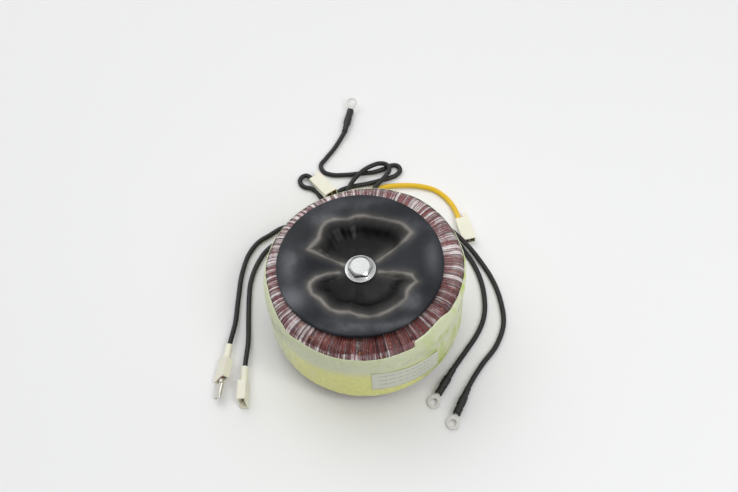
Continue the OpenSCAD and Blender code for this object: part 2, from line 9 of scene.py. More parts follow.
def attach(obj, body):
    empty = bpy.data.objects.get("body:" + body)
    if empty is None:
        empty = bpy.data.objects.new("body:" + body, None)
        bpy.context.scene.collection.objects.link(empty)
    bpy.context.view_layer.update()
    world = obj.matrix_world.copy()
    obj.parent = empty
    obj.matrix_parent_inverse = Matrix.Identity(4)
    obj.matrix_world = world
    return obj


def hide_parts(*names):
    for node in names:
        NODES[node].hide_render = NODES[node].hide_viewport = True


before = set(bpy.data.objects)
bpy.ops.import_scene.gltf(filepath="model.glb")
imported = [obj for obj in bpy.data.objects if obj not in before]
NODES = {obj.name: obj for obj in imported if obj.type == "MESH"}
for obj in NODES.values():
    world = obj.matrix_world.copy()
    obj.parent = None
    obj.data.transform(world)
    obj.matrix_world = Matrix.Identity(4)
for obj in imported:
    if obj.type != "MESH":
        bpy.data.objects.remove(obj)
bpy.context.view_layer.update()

MM = 0.001


# ---- camera ----

AIM = Vector((4.15, 50.94, 0)) * MM
PITCH = math.radians(59.16)
DISTANCE = 645.25 * MM
ROLL = math.radians(-4)


def make_camera():
    data = bpy.data.cameras.new("camera")
    data.lens = 50
    data.sensor_width = 36
    data.clip_start = 0.01
    camera = bpy.data.objects.new("camera", data)
    bpy.context.collection.objects.link(camera)
    back = Vector((0, -math.cos(PITCH), math.sin(PITCH)))
    turn = back.to_track_quat("Z", "Y").to_matrix().to_4x4()
    camera.matrix_world = Matrix.Translation(AIM + back * DISTANCE) @ turn @ Matrix.Rotation(ROLL, 4, "Z")
    bpy.context.scene.camera = camera


make_camera()


# ---- sizes shared with the part's source, in millimetres ----

RING_R, HOLE_R, RING_Z0, RING_Z1 = 56.0, 24.0, 4.35, 62.35
HEEL_R, SHOULDER_R, THROAT_R, FOOT_R = 13.5, 9.5, 11.0, 10.0
TAPE_T = 0.35
SHIFT = Vector((-1.5, 1.0, 0))
PAD_R, PAD_T, PAD_DROP = 46.4, 2.8, 6.4
LEAD_ENTRY, SHRINK_LEN, SHRINK_R, PUSHED_OUT = 7.0, 18.5, 2.55, 13.5
BOLT_HOLE_R, WIRE_PEAK, CELL_HALF, NECK_LEN = 4.3, 0.7267, 1.9, 9.0
FILM_BANDS = 60

# Openings in the film's heel: each at the middle of a band, square to the heel's chord
BAND, BAND_MIDDLE = 360 / FILM_BANDS, 0.467
EXITS = [BAND * (math.floor(a / BAND) + BAND_MIDDLE) for a in (44.8, 56.8, 74.8, 86.8, 104.8, 116.8, 128.8)]
EXIT_DROP, HALF_CHORD = 22.5, 22.5      # in degrees
EXIT_START, EXIT_STRAIGHT = 0.3, 8.0    # where a lead begins and where it may first bend, along its opening

# Route of each lead: its opening, its diameter and the points between opening and end piece

ROUTES = {
    "lead_right_inner": (0, 3.0, [
        (49.5, 47.5, 7), (55.5, 48.8, 4), (60, 46.5, 2.2), (63.1, 41.4, 1.5), (67.2, 33.2, 1.5),
        (70.5, 22.6, 1.5), (71.8, 8, 1.5), (70, -5, 1.5), (67.6, -11, 1.5), (64.2, -16.8, 1.5),
        (57, -26.4, 1.7)]),
    "lead_right_outer": (1, 3.0, [
        (38.5, 56.5, 8.5), (45, 59.5, 7.5), (52, 57.5, 7.2), (59, 50.5, 7), (65.5, 43, 5), (72.5, 32.5, 2.2),
        (78.1, 19.8, 1.5), (81.3, 4.8, 1.5), (81.1, -10.5, 1.5), (75, -24.5, 1.5), (65.5, -35.8, 1.8)]),
    "lead_back_plug": (2, 3.0, [
        (17.5, 67, 6.2), (15.5, 76, 4.9), (11.5, 84, 4.8), (10.2, 89.5, 4.9), (12, 93.4, 4.8),
        (15.2, 96.9, 4.7), (18.6, 100.8, 4.7), (20.8, 105.2, 4.7), (19.4, 109, 4.7), (15, 110.5, 4.6),
        (9.4, 109, 4.6), (4.2, 106, 4.7), (-0.2, 101.9, 4.7), (-3.9, 97, 4.9), (-7.4, 91, 4.1),
        (-11, 85, 3.3), (-16.4, 81.6, 5.2), (-21.2, 83.4, 4.3), (-24.6, 88.8, 1.5), (-27.6, 94.1, 1.5),
        (-31, 96.6, 1.5),
        (-34.9, 98, 1.5), (-37.5, 100.8, 1.6), (-37.6, 104.2, 1.8), (-34.9, 106.3, 2.3)]),
    "lead_yellow": (3, 3.2, [
        (2.8, 68.5, 6.2), (1.6, 77, 2.6), (2.8, 85, 1.6), (7.5, 91, 1.6), (14.5, 93.3, 1.6), (27.5, 94, 1.6),
        (41, 92, 1.6), (48, 89.2, 1.6), (53.6, 84.5, 1.6), (57.8, 78.6, 1.7), (60.4, 72.4, 2.1)]),
    "lead_back_ring": (4, 3.0, [
        (-18.5, 67, 6.4), (-19.8, 75, 2.2), (-18, 83, 1.5), (-16.2, 88.8, 1.5), (-12.2, 93.2, 1.5),
        (-6, 95.4, 1.5), (5.3, 97.1, 1.5), (15.5, 99.2, 1.5), (21, 100.6, 1.5), (25.4, 102.6, 1.5),
        (27.9, 106, 1.5), (26.4, 109.8, 1.5), (22.4, 110.3, 1.5), (17.2, 108, 1.5), (10.6, 106, 1.5),
        (3, 105.8, 1.5), (-9.2, 105.4, 1.5), (-16.8, 106.2, 1.5), (-22.2, 109.2, 1.5), (-23.8, 114, 1.5),
        (-20.3, 119.5, 1.5), (-14.7, 126.9, 1.5), (-10.3, 133.8, 1.9)]),
    "lead_left_outer": (5, 3.0, [
        (-30.5, 60.8, 7), (-35.5, 66, 4), (-42.8, 68.8, 2), (-51, 67.4, 1.5), (-58.1, 63.1, 1.5),
        (-65.2, 58.5, 1.5), (-71, 50.7, 1.5), (-75.2, 38.3, 1.5), (-77.7, 20.6, 1.5), (-78.5, 12.3, 1.8),
        (-79.2, 4, 2.4)]),
    "lead_left_inner": (6, 3.0, [
        (-43.2, 52.6, 7), (-49, 56, 4), (-55, 55.6, 2), (-60.6, 51.4, 1.5), (-65.3, 44, 1.5),
        (-69, 34.8, 1.5), (-70.6, 27.6, 1.5), (-71.2, 20, 1.5), (-71.5, 12, 1.5), (-71.6, 4, 1.5),
        (-71.6, -10, 2.4)]),
}

# Where each lead goes into its end piece: place, then roll, pitch and yaw in degrees
ENDS = {
    "lead_right_inner": ((48.2, -38, 2.9), (0, 4.5, -124)),
    "lead_right_outer": ((55.6, -50.2, 2.9), (0, 4.5, -118)),
    "lead_back_plug": ((-29.2, 102.2, 3.4), (0, 16, -59.5)),
    "lead_yellow": ((62.2, 64.2, 2.5), (0, 0, -80)),
    "lead_back_ring": ((-6.9, 139.8, 2.6), (180, 0, 74.5)),
    "lead_left_outer": ((-82.5, -13.4, 4.7), (-43, 0, -101.5)),
    "lead_left_inner": ((-73.3, -28.3, 4.4), (10, 0, -93.5)),
}
ON_LEAD = {
    "lead_right_inner": ["shrink_right_inner", "eye_right_inner"],
    "lead_right_outer": ["shrink_right_outer", "eye_right_outer"],
    "lead_back_plug": ["housing_back", "terminal_back"],
    "lead_yellow": ["housing_yellow", "terminal_yellow"],
    "lead_back_ring": ["shrink_back", "eye_back"],
    "lead_left_outer": ["housing_left_outer", "terminal_left_outer"],
    "lead_left_inner": ["housing_left_inner", "terminal_left_inner"],
}


def end_matrix(lead):
    place, (roll, pitch, yaw) = ENDS[lead]
    turn = Euler((math.radians(roll), -math.radians(pitch), math.radians(yaw))).to_matrix().to_4x4()
    return Matrix.Translation(Vector(place) * MM) @ turn


def exit_point(k, along):
    reach = (HEEL_R - WIRE_PEAK) * math.cos(math.radians(HALF_CHORD)) + along
    drop = math.radians(EXIT_DROP)
    r = RING_R - HEEL_R + reach * math.cos(drop)
    z = RING_Z0 + HEEL_R - reach * math.sin(drop)
    a = math.radians(EXITS[k])
    return Vector((r * math.cos(a), r * math.sin(a), z))


def route_points(lead):
    k, _, points = ROUTES[lead]
    entry = LEAD_ENTRY + (PUSHED_OUT if lead == "lead_left_outer" else 0)
    far = end_matrix(lead)
    start = [exit_point(k, EXIT_START) * MM, exit_point(k, EXIT_STRAIGHT) * MM]
    end = [far @ Vector((0, 0, 0)), far @ Vector((entry * MM, 0, 0))]
    return start + [Vector(p) * MM for p in points] + end


# ---- shader expressions ----


class Value:
    """A shader socket that takes part in sums."""

    def __init__(self, mat, socket):
        self.mat = mat
        self.socket = socket

    def _math(self, operation, *values):
        return self.mat.node("ShaderNodeMath", {"operation": operation}, dict(enumerate(values)))

    def __add__(self, other):
        return self._math("ADD", self, other)

    def __radd__(self, other):
        return self._math("ADD", other, self)

    def __sub__(self, other):
        return self._math("SUBTRACT", self, other)

    def __rsub__(self, other):
        return self._math("SUBTRACT", other, self)

    def __mul__(self, other):
        return self._math("MULTIPLY", self, other)

    def sin(self):
        return self._math("SINE", self)

    def least(self, other):
        return self._math("MINIMUM", self, other)

    def ramp(self, low, high, to_low=0.0, to_high=1.0):
        return self.mat.node(
            "ShaderNodeMapRange", {"interpolation_type": "SMOOTHSTEP"},
            {"Value": self, "From Min": low, "From Max": high, "To Min": to_low, "To Max": to_high})


class Finish:
    """A material, its Principled shader and the nodes that feed it."""

    def __init__(self, name):
        self.material = bpy.data.materials.new(name)
        self.material.use_nodes = True
        self.tree = self.material.node_tree
        self.shader = next(n for n in self.tree.nodes if n.type == "BSDF_PRINCIPLED")

    def node(self, kind, settings, inputs, output=0):
        made = self.tree.nodes.new(kind)
        for key, value in settings.items():
            setattr(made, key, value)
        for key, value in inputs.items():
            self.join(made.inputs[key], value)
        return Value(self, made.outputs[output])

    def join(self, socket, value):
        if isinstance(value, Value):
            self.tree.links.new(value.socket, socket)
        elif isinstance(value, tuple) and len(value) == 3 and socket.type == "RGBA":
            socket.default_value = (*value, 1)
        else:
            socket.default_value = value

    def set(self, **values):
        for key, value in values.items():
            self.join(self.shader.inputs[key.replace("_", " ")], value)
        return self

    def where(self):
        return self.node("ShaderNodeTexCoord", {}, {}, "Object")

    def uv(self):
        return self.node("ShaderNodeTexCoord", {}, {}, "UV")

    def stretched(self, vector, scale):
        return self.node("ShaderNodeMapping", {}, {"Vector": vector, "Scale": scale})

    def around(self, vector):
        """The direction from the ring's axis, the same all the way up, for streaks along the wires."""
        flat = self.stretched(vector, (1, 1, 0.0001))
        return self.node("ShaderNodeVectorMath", {"operation": "NORMALIZE"}, {0: flat}, "Vector")

    def part(self, vector, axis):
        return self.node("ShaderNodeSeparateXYZ", {}, {"Vector": vector}, axis)

    def noise(self, vector, scale, detail=3.0, rough=0.55, distortion=0.0):
        return self.node("ShaderNodeTexNoise", {}, {
            "Vector": vector, "Scale": scale, "Detail": detail, "Roughness": rough, "Distortion": distortion})

    def mix(self, amount, a, b):
        return self.node("ShaderNodeMix", {"data_type": "RGBA"}, {"Factor": amount, 6: a, 7: b}, 2)

    def attribute(self, name):
        return self.node("ShaderNodeAttribute", {"attribute_name": name}, {}, "Fac")

    def bump(self, height, strength, distance):
        inputs = {"Height": height, "Strength": strength, "Distance": distance}
        return self.node("ShaderNodeBump", {}, inputs, "Normal")


# ---- leads ----


def black_insulation():
    f = Finish("black_insulation")
    at = f.where()
    blotch = f.noise(at, 160, 4)
    fine = f.noise(at, 2600, 3)
    return f.set(
        Base_Color=f.mix(blotch, (0.009, 0.009, 0.0095), (0.016, 0.016, 0.017)),
        Roughness=blotch.ramp(0.3, 0.7, 0.42, 0.54), Specular_IOR_Level=0.42,
        Normal=f.bump(fine + blotch * 1.5, 0.25, 0.00012)).material


def yellow_insulation():
    f = Finish("yellow_insulation")
    at = f.where()
    blotch = f.noise(at, 120, 4)
    return f.set(
        Base_Color=f.mix(blotch, (0.72, 0.44, 0.005), (0.82, 0.54, 0.014)),
        Roughness=blotch.ramp(0.3, 0.7, 0.36, 0.46),
        Normal=f.bump(f.noise(at, 2400, 2), 0.2, 0.0001)).material


def show(name, mesh, material, replaces, smooth=True):
    piece = bpy.data.objects.new(name, mesh)
    bpy.context.collection.objects.link(piece)
    mesh.materials.append(material)
    if smooth:
        mesh.polygons.foreach_set("use_smooth", [True] * len(mesh.polygons))
    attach(piece, "root")
    for node in replaces:
        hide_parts(node)
    return piece


def round_ways(points):
    """The way that a lead runs at each point: along the circle through it and its neighbours."""
    steps = [b - a for a, b in zip(points, points[1:])]
    inner = [a * (b.length / a.length) + b * (a.length / b.length) for a, b in zip(steps, steps[1:])]
    return [way.normalized() for way in [steps[0]] + inner + [steps[-1]]]


def make_lead(lead, material):
    k, diameter, _ = ROUTES[lead]
    points = route_points(lead)
    data = bpy.data.curves.new(lead + "_wire", "CURVE")
    data.dimensions = "3D"
    data.bevel_depth = diameter / 2 * MM
    data.bevel_resolution = 5
    data.resolution_u = 8
    data.use_fill_caps = True
    spline = data.splines.new("BEZIER")
    spline.bezier_points.add(len(points) - 1)
    ways = round_ways(points)
    for bez, point in zip(spline.bezier_points, points):
        bez.co = bez.handle_left = bez.handle_right = point
        bez.handle_left_type = bez.handle_right_type = "FREE"
    for j in range(len(points) - 1):
        reach = (points[j + 1] - points[j]).length * (1 / 3 + 0.06 * (1 - ways[j].dot(ways[j + 1])))
        spline.bezier_points[j].handle_right = points[j] + ways[j] * reach
        spline.bezier_points[j + 1].handle_left = points[j + 1] - ways[j + 1] * reach
    piece = bpy.data.objects.new(lead + "_wire", data)
    bpy.context.collection.objects.link(piece)
    data.materials.append(material)
    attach(piece, "root")
    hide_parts(lead)
    return piece, points


def length_of(points):
    return sum((b - a).length for a, b in zip(points, points[1:]))


BLACK = black_insulation()
YELLOW = yellow_insulation()
leads = {}
for lead in ROUTES:
    yellow = lead == "lead_yellow"
    leads[lead] = make_lead(lead, YELLOW if yellow else BLACK)


# ---- bmesh helpers ----


def spun(profile, steps, shift=Vector((0, 0, 0)), closed=True, arc=None, start=0.0):
    """Spins a line of (r, z) points, in millimetres, round the Z axis; returns the bmesh in metres."""
    bm = bmesh.new()
    verts = [bm.verts.new((r * MM, 0, z * MM)) for r, z in profile]
    rows = list(zip(verts, verts[1:])) + ([(verts[-1], verts[0])] if closed else [])
    edges = [bm.edges.new(pair) for pair in rows]
    first_turn = Matrix.Rotation(math.radians(start), 3, "Z")
    bmesh.ops.rotate(bm, verts=bm.verts[:], cent=(0, 0, 0), matrix=first_turn)
    full = arc is None
    bmesh.ops.spin(
        bm, geom=bm.verts[:] + edges, cent=(0, 0, 0), axis=(0, 0, 1), steps=steps,
        angle=math.tau if full else math.radians(arc), use_merge=full, use_duplicate=False)
    bmesh.ops.translate(bm, verts=bm.verts[:], vec=shift * MM)
    return bm


def to_mesh(bm, name, recalc=True):
    if recalc:
        bmesh.ops.remove_doubles(bm, verts=bm.verts[:], dist=1e-7)
        bmesh.ops.recalc_face_normals(bm, faces=bm.faces[:])
    mesh = bpy.data.meshes.new(name)
    bm.to_mesh(mesh)
    bm.free()
    return mesh


def clamp(x):
    return min(1.0, max(0.0, x))


def arc_points(centre, r, a0, a1, n):
    return [(centre[0] + r * math.cos(math.radians(a0 + (a1 - a0) * k / n)),
             centre[1] + r * math.sin(math.radians(a0 + (a1 - a0) * k / n))) for k in range(n + 1)]


HEEL_C = (RING_R - HEEL_R, RING_Z0 + HEEL_R)
SHOULDER_C = (RING_R - SHOULDER_R, RING_Z1 - SHOULDER_R)
THROAT_C = (HOLE_R + THROAT_R, RING_Z1 - THROAT_R)
FOOT_C = (HOLE_R + FOOT_R, RING_Z0 + FOOT_R)


def section(inset, heel=6, wall=4, shoulder=14, top=3):
    """The ring's section, heel first, then side, shoulder, top, throat and foot."""
    side_low, side_high = HEEL_C[1], SHOULDER_C[1]
    points = arc_points(HEEL_C, HEEL_R - inset, -90, 0, heel)
    points += [(RING_R - inset, side_low + (side_high - side_low) * k / wall) for k in range(1, wall)]
    points += arc_points(SHOULDER_C, SHOULDER_R - inset, 0, 90, shoulder)
    across = THROAT_C[0] - SHOULDER_C[0]
    points += [(SHOULDER_C[0] + across * k / top, RING_Z1 - inset) for k in range(1, top)]
    points += arc_points(THROAT_C, THROAT_R - inset, 90, 180, 4)
    points += arc_points(FOOT_C, FOOT_R - inset, 180, 270, 3)
    return points


HALF_WAY_UP = 40      # the ring's flat inner part faces up above this height, and down below it
ROUGH_FROM = 34       # radius from which the ring's surface is roughened, as the rest is hidden


def section_normal(r, z):
    """The direction out of the ring's section at a point on it."""
    if r > HEEL_C[0] and z < HEEL_C[1]:
        out = (r - HEEL_C[0], z - HEEL_C[1])
    elif r > SHOULDER_C[0] and z > SHOULDER_C[1]:
        out = (r - SHOULDER_C[0], z - SHOULDER_C[1])
    elif r > HEEL_C[0]:
        out = (1, 0)
    elif z > HALF_WAY_UP:
        out = (0, 1)
    else:
        out = (0, -1)
    size = math.hypot(*out) or 1
    return out[0] / size, out[1] / size


def shoulder_angle(r, z):
    return math.degrees(math.atan2(z - SHOULDER_C[1], r - SHOULDER_C[0]))


def push_out(bm, depth):
    """Moves each vertex of a ring surface along its section's normal by depth(azimuth, r, z) millimetres."""
    for v in bm.verts:
        r, z = math.hypot(v.co.x, v.co.y) / MM, v.co.z / MM
        if r < ROUGH_FROM:
            continue
        a = math.degrees(math.atan2(v.co.y, v.co.x)) % 360
        nr, nz = section_normal(r, z)
        d = depth(a, r, z)
        k = (r + nr * d) / r
        v.co = Vector((v.co.x * k, v.co.y * k, v.co.z + nz * d * MM))


def by_azimuth(table, a):
    """A value read from a table of (azimuth, value), rising azimuths from -180 to 180, joined smoothly."""
    a = (a + 180) % 360 - 180
    last = table[-1][0] - 360, table[-1][1]
    first = table[0][0] + 360, table[0][1]
    line = [last] + table + [first]
    for (a0, v0), (a1, v1) in zip(line, line[1:]):
        if a <= a1:
            t = (a - a0) / (a1 - a0)
            return v0 + (v1 - v0) * t * t * (3 - 2 * t)
    return first[1]


def rough(x, y, z, seed):
    return noise.noise(Vector((x + seed * 17.3, y - seed * 5.1, z + seed * 9.7)))


BULGE = [(-28, 0), (-10, 0.6), (8, 1.7), (25, 2.2), (52, 2.2), (72, 1.5), (90, 0.6), (108, 0)]


def bulge(a, r, z):
    """The loose bulge of the winding's shoulder at the right and the back, in millimetres."""
    turn = shoulder_angle(r, z)
    up = clamp((turn + 25) / 30) * clamp((78 - turn) / 30)
    return by_azimuth(BULGE, a) * up


# ---- outer winding and its clear film ----

WIRES = 216
WIRE_SPAN = 360 / WIRES


def wire_depth(a, r, z):
    """How far the wires lie under the film: round backs, in groups that sit a little higher or lower."""
    k = math.floor(a / WIRE_SPAN)
    x = (a / WIRE_SPAN - k) * 2 - 1
    group = 0.5 * rough(a * 0.22, 0, 0, 3) + 0.25 * rough(a * 1.1, 0, 0, 4)
    lift = 0.22 * rough(k * 7.31, 0, 0, 5)
    bead = math.sqrt(max(0.0, 1 - x * x))
    return -0.95 + 0.5 * bead + group * 0.8 + lift


def winding_mesh():
    bm = spun(section(0.35, heel=6, wall=3, shoulder=8, top=2), WIRES * 6)
    push_out(bm, lambda a, r, z: min(0.0, wire_depth(a, r, z)) + bulge(a, r, z))
    return to_mesh(bm, "winding")


def enamelled_copper():
    f = Finish("enamelled_copper")
    at = f.where()
    turn = f.around(at)
    per_wire = f.noise(turn, 46, 2)
    glint = f.noise(at, 420, 3).ramp(0.6, 0.72)
    copper = f.mix(per_wire.ramp(0.38, 0.66), (0.018, 0.003, 0.003), (0.19, 0.022, 0.012))
    return f.set(
        Base_Color=f.mix(glint * 0.6, copper, (0.55, 0.22, 0.09)),
        Metallic=0.3, Roughness=per_wire.ramp(0.3, 0.7, 0.22, 0.42),
        Specular_IOR_Level=0.3, Coat_Weight=0.15, Coat_Roughness=0.06,
        Normal=f.bump(f.noise(at, 900, 3), 0.3, 0.0002)).material


# Where the film lies loose and milky: up to this angle of the shoulder, and over all, by azimuth. The
# over-all table is low at the front partly because the film is clearer there and partly as painted shade,
# standing in for the sheen that falls off on the side the ring is seen from.
MILKY_UP_TO = [(-160, 30), (-149, 38), (-135, 44), (-123, 46), (-113, 49), (-98, 55), (-61, 57), (-52, 30)]
MILKY_AND_SHADE_ALL = [
    (-175, 0.9), (-150, 0.65), (-125, 0.2), (-95, 0.04), (-60, 0.12), (-35, 0.34), (0, 0.6), (45, 0.6),
    (72, 0.55), (90, 0.7), (120, 0.85), (150, 0.85)]

# How far the tape turns in over the shoulder, in degrees of the shoulder's arc, by azimuth
TAPE_EDGE = [
    (-177, 40), (-172, 45), (-160, 44), (-149, 37), (-141, 31), (-129, 36), (-63, 36.5), (-61.5, 54),
    (-42, 58), (-30, 42), (-19, 36), (-5, 27), (10, 24), (40, 26), (90, 24), (140, 27), (170, 30), (177, 35)]


def tape_edge(a):
    return by_azimuth(TAPE_EDGE, a) + 0.8 * rough(a * 0.5, 0, 0, 22)


def film_depth(a, r, z):
    """Bands that start over the end of the last, with creases that run across the ring."""
    held_down = clamp((tape_edge(a) - shoulder_angle(r, z)) / 3)
    k = math.floor(a / BAND)
    x = a / BAND - k
    fold = 0.28 * rough(a * 1.3, r * 0.05, z * 0.05, 11) + 0.2 * rough(a * 3.1, r * 0.12, z * 0.12, 12)
    slack = 0.22 * rough(k * 3.7, r * 0.06, z * 0.06, 13)
    return min(0.3 - 0.6 * held_down, -0.3 * x + fold + slack) + bulge(a, r, z)


def film_mesh():
    bm = spun(section(0.0, heel=8, wall=4, shoulder=18, top=3), FILM_BANDS * 18)
    milky_and_shade = bm.verts.layers.float.new("milky_and_shade")
    for v in bm.verts:
        a = math.degrees(math.atan2(v.co.y, v.co.x))
        turn = shoulder_angle(math.hypot(v.co.x, v.co.y) / MM, v.co.z / MM)
        edge = by_azimuth(MILKY_UP_TO, a) + 1.5 * rough(a * 0.35, 0, 0, 15)
        near = clamp((edge - turn) / 3 + 0.5)
        # over all: the film's own milkiness, and lower at the front as painted shade
        over_all = by_azimuth(MILKY_AND_SHADE_ALL, a) + 0.18 * rough(a * 0.25, turn * 0.02, 0, 16)
        v[milky_and_shade] = max(near * 0.85, over_all)
    push_out(bm, film_depth)
    return to_mesh(bm, "film")


def clear_film():
    f = Finish("clear_film")
    at = f.where()
    turn = f.around(at)
    streak = f.noise(turn, 26, 4, 0.65)
    fine_streak = f.noise(turn, 110, 2, 0.5)
    patch = f.noise(at, 150, 4, 0.6, 0.6)
    milky_and_shade = f.attribute("milky_and_shade")
    lines = streak.ramp(0.5, 0.6) * 0.7 + fine_streak.ramp(0.54, 0.64) * 0.45
    # cover: how much of the film shows; low at the front partly as painted shade in place of the sheen that
    # falls off there
    cover = milky_and_shade * (0.22 + lines * 1.25) + lines * patch.ramp(0.5, 0.6) * 0.2
    whiter = (patch * 0.5 + streak * 0.5).ramp(0.44, 0.56)
    return f.set(
        Base_Color=f.mix(whiter, (0.62, 0.34, 0.37), (0.95, 0.86, 0.86)),
        Roughness=patch.ramp(0.3, 0.7, 0.12, 0.3),
        Alpha=(cover + 0.02).least(0.9),
        Specular_IOR_Level=0.3, Coat_Weight=0.2, Coat_Roughness=0.04,
        Normal=f.bump(streak * 0.8 + fine_streak * 0.5 + patch * 0.7, 0.75, 0.0008)).material


show("winding", winding_mesh(), enamelled_copper(), ["outer_winding"])
show("film", film_mesh(), clear_film(), ["film_wrap"])


# ---- side tape and label ----


TAPE_FROM, TAPE_TURN = -47, 50      # where its profile starts under the heel and ends over the shoulder


def tape_depth(a, r, z):
    """Long folds, creases and small wrinkles, smooth near the floor and roughest at the right."""
    fade = clamp((z - 8) / 6)
    long_fold = rough(a * 0.10, z * 0.05, 0, 31)
    crease = 1 - abs(rough(a * 0.16 + z * 0.05, z * 0.09, 0, 32)) * 2.2
    small = rough(a * 0.5, z * 0.25, 0, 33)
    right = 0.5 + 0.5 * math.cos(math.radians(a + 25))
    folds = 0.22 * long_fold + 0.1 * crease + (0.05 + 0.12 * right) * small
    return bulge(a, r, z) + TAPE_T - 0.12 + fade * folds


def tape_mesh():
    profile = arc_points(HEEL_C, HEEL_R, TAPE_FROM, 0, 8)
    profile += [(RING_R, HEEL_C[1] + (SHOULDER_C[1] - HEEL_C[1]) * k / 26) for k in range(1, 26)]
    profile += arc_points(SHOULDER_C, SHOULDER_R, 0, TAPE_TURN, 9)
    bm = spun(profile, 540, closed=False)
    for v in bm.verts:
        r, z = math.hypot(v.co.x, v.co.y) / MM, v.co.z / MM
        if z <= SHOULDER_C[1]:
            continue
        a = math.degrees(math.atan2(v.co.y, v.co.x)) % 360
        turn = math.radians(shoulder_angle(r, z) * tape_edge(a) / TAPE_TURN)
        new_r = SHOULDER_C[0] + SHOULDER_R * math.cos(turn)
        new_z = SHOULDER_C[1] + SHOULDER_R * math.sin(turn)
        v.co = Vector((v.co.x * new_r / r, v.co.y * new_r / r, new_z * MM))
    push_out(bm, tape_depth)
    bmesh.ops.recalc_face_normals(bm, faces=bm.faces[:])
    bmesh.ops.solidify(bm, geom=bm.faces[:], thickness=0.0002)
    return to_mesh(bm, "tape", recalc=False)


def green_tape():
    f = Finish("green_tape")
    at = f.where()
    x, y, z = (f.part(at, c) for c in "XYZ")
    long_noise = f.noise(f.stretched(at, (1, 1, 0.5)), 28, 3, 0.5)
    crumple = f.noise(at, 75, 4, 0.55, 0.6)
    flow = f.noise(f.stretched(at, (1, 1, 0.45)), 120, 3, 0.5, 0.4)
    level = z + (long_noise - 0.5) * 0.012
    low = level.ramp(0.048, 0.037)
    right = x.ramp(0.022, 0.046)
    middle = low * (1.0 - right * 0.75) * x.ramp(-0.056, -0.036)
    pale, yellow, lime = (0.66, 0.70, 0.46), (0.80, 0.80, 0.25), (0.50, 0.62, 0.12)
    base = f.mix(middle, pale, yellow)
    folds = (flow.ramp(0.5, 0.64) * right + flow.ramp(0.62, 0.74) * 0.25).least(1.0)
    base = f.mix(folds, base, lime)
    milk = crumple.ramp(0.55, 0.7) * (0.25 + right * 0.35)
    base = f.mix(milk, base, (0.78, 0.80, 0.66))
    return f.set(
        Base_Color=base, Roughness=crumple.ramp(0.3, 0.7, 0.22, 0.36),
        Normal=f.bump(crumple * 0.6 + flow * 0.3 + long_noise * 0.6, 0.35, 0.0008)).material


show("tape", tape_mesh(), green_tape(), ["side_tape"])

LABEL_FROM, LABEL_ARC, LABEL_ROWS, LABEL_GAP = -89.5, 42.0, 4.0, 0.22
LABEL_LOW, LABEL_HIGH = (24.4, 20.2), (45.4, 38.4)    # heights at its left and right ends


def label_mesh():
    """The sheet sits a little askew: its lower and upper edges fall to the right."""
    rows = 12
    profile = [(RING_R + TAPE_T + LABEL_GAP, k / rows) for k in range(rows + 1)]
    bm = spun(profile, 84, closed=False, arc=LABEL_ARC, start=LABEL_FROM)
    layer = bm.loops.layers.uv.new("UVMap")
    for face in bm.faces:
        for loop in face.loops:
            a = math.degrees(math.atan2(loop.vert.co.y, loop.vert.co.x))
            loop[layer].uv = ((a - LABEL_FROM) / LABEL_ARC, loop.vert.co.z / MM)
    for v in bm.verts:
        t = (math.degrees(math.atan2(v.co.y, v.co.x)) - LABEL_FROM) / LABEL_ARC
        low = LABEL_LOW[0] + (LABEL_LOW[1] - LABEL_LOW[0]) * t
        high = LABEL_HIGH[0] + (LABEL_HIGH[1] - LABEL_HIGH[0]) * t
        v.co.z = (low + (high - low) * v.co.z / MM) * MM
    push_out(bm, lambda a, r, z: 0.1 * rough(a * 0.1, z * 0.1, 0, 41))
    bmesh.ops.recalc_face_normals(bm, faces=bm.faces[:])
    bmesh.ops.solidify(bm, geom=bm.faces[:], thickness=0.0001)
    return to_mesh(bm, "label_sheet", recalc=False)


def printed_paper():
    f = Finish("printed_paper")
    uv = f.uv()
    u, v = f.part(uv, "X"), f.part(uv, "Y")
    rows = (v * LABEL_ROWS * math.tau).sin().ramp(0.72, 0.9)
    dashes = f.noise(f.stretched(uv, (46, 0, 0)), 1.0, 1).ramp(0.46, 0.54)
    inside = v.ramp(0.12, 0.14) * v.ramp(0.9, 0.88) * u.ramp(0.08, 0.1) * u.ramp(0.92, 0.9)
    at = f.where()
    return f.set(
        Base_Color=f.mix(rows * dashes * inside * 0.9, (0.70, 0.72, 0.60), (0.24, 0.27, 0.29)),
        Roughness=0.45, Normal=f.bump(f.noise(at, 900, 3), 0.15, 0.0001)).material


show("label_sheet", label_mesh(), printed_paper(), ["label"])


# ---- pads ----

# The pad's height, as a share of its drop, by radius: in a pit and along a ridge
PIT_RIM = 33.5
PIT = [
    (0, 0), (10, 0), (16, 0.07), (21, 0.22), (24, 0.46), (26, 0.72), (28, 0.88), (31, 0.97), (PIT_RIM, 1),
    (60, 1)]
RIDGE = [
    (0, 0), (10, 0), (16, 0.38), (21, 0.64), (24, 0.77), (26, 0.86), (28, 0.92), (31, 0.98), (PIT_RIM, 1),
    (60, 1)]
RIDGE_MID, RIDGE_HALF, RIDGE_FALL = (5, 178.5), (19, 16.5), 8


def along(line, r):
    for (r0, h0), (r1, h1) in zip(line, line[1:]):
        if r <= r1:
            t = (r - r0) / (r1 - r0)
            return h0 + (h1 - h0) * t
    return line[-1][1]


def smooth_along(line, r):
    return sum(along(line, r + step) for step in (-1, -0.5, 0, 0.5, 1)) / 5


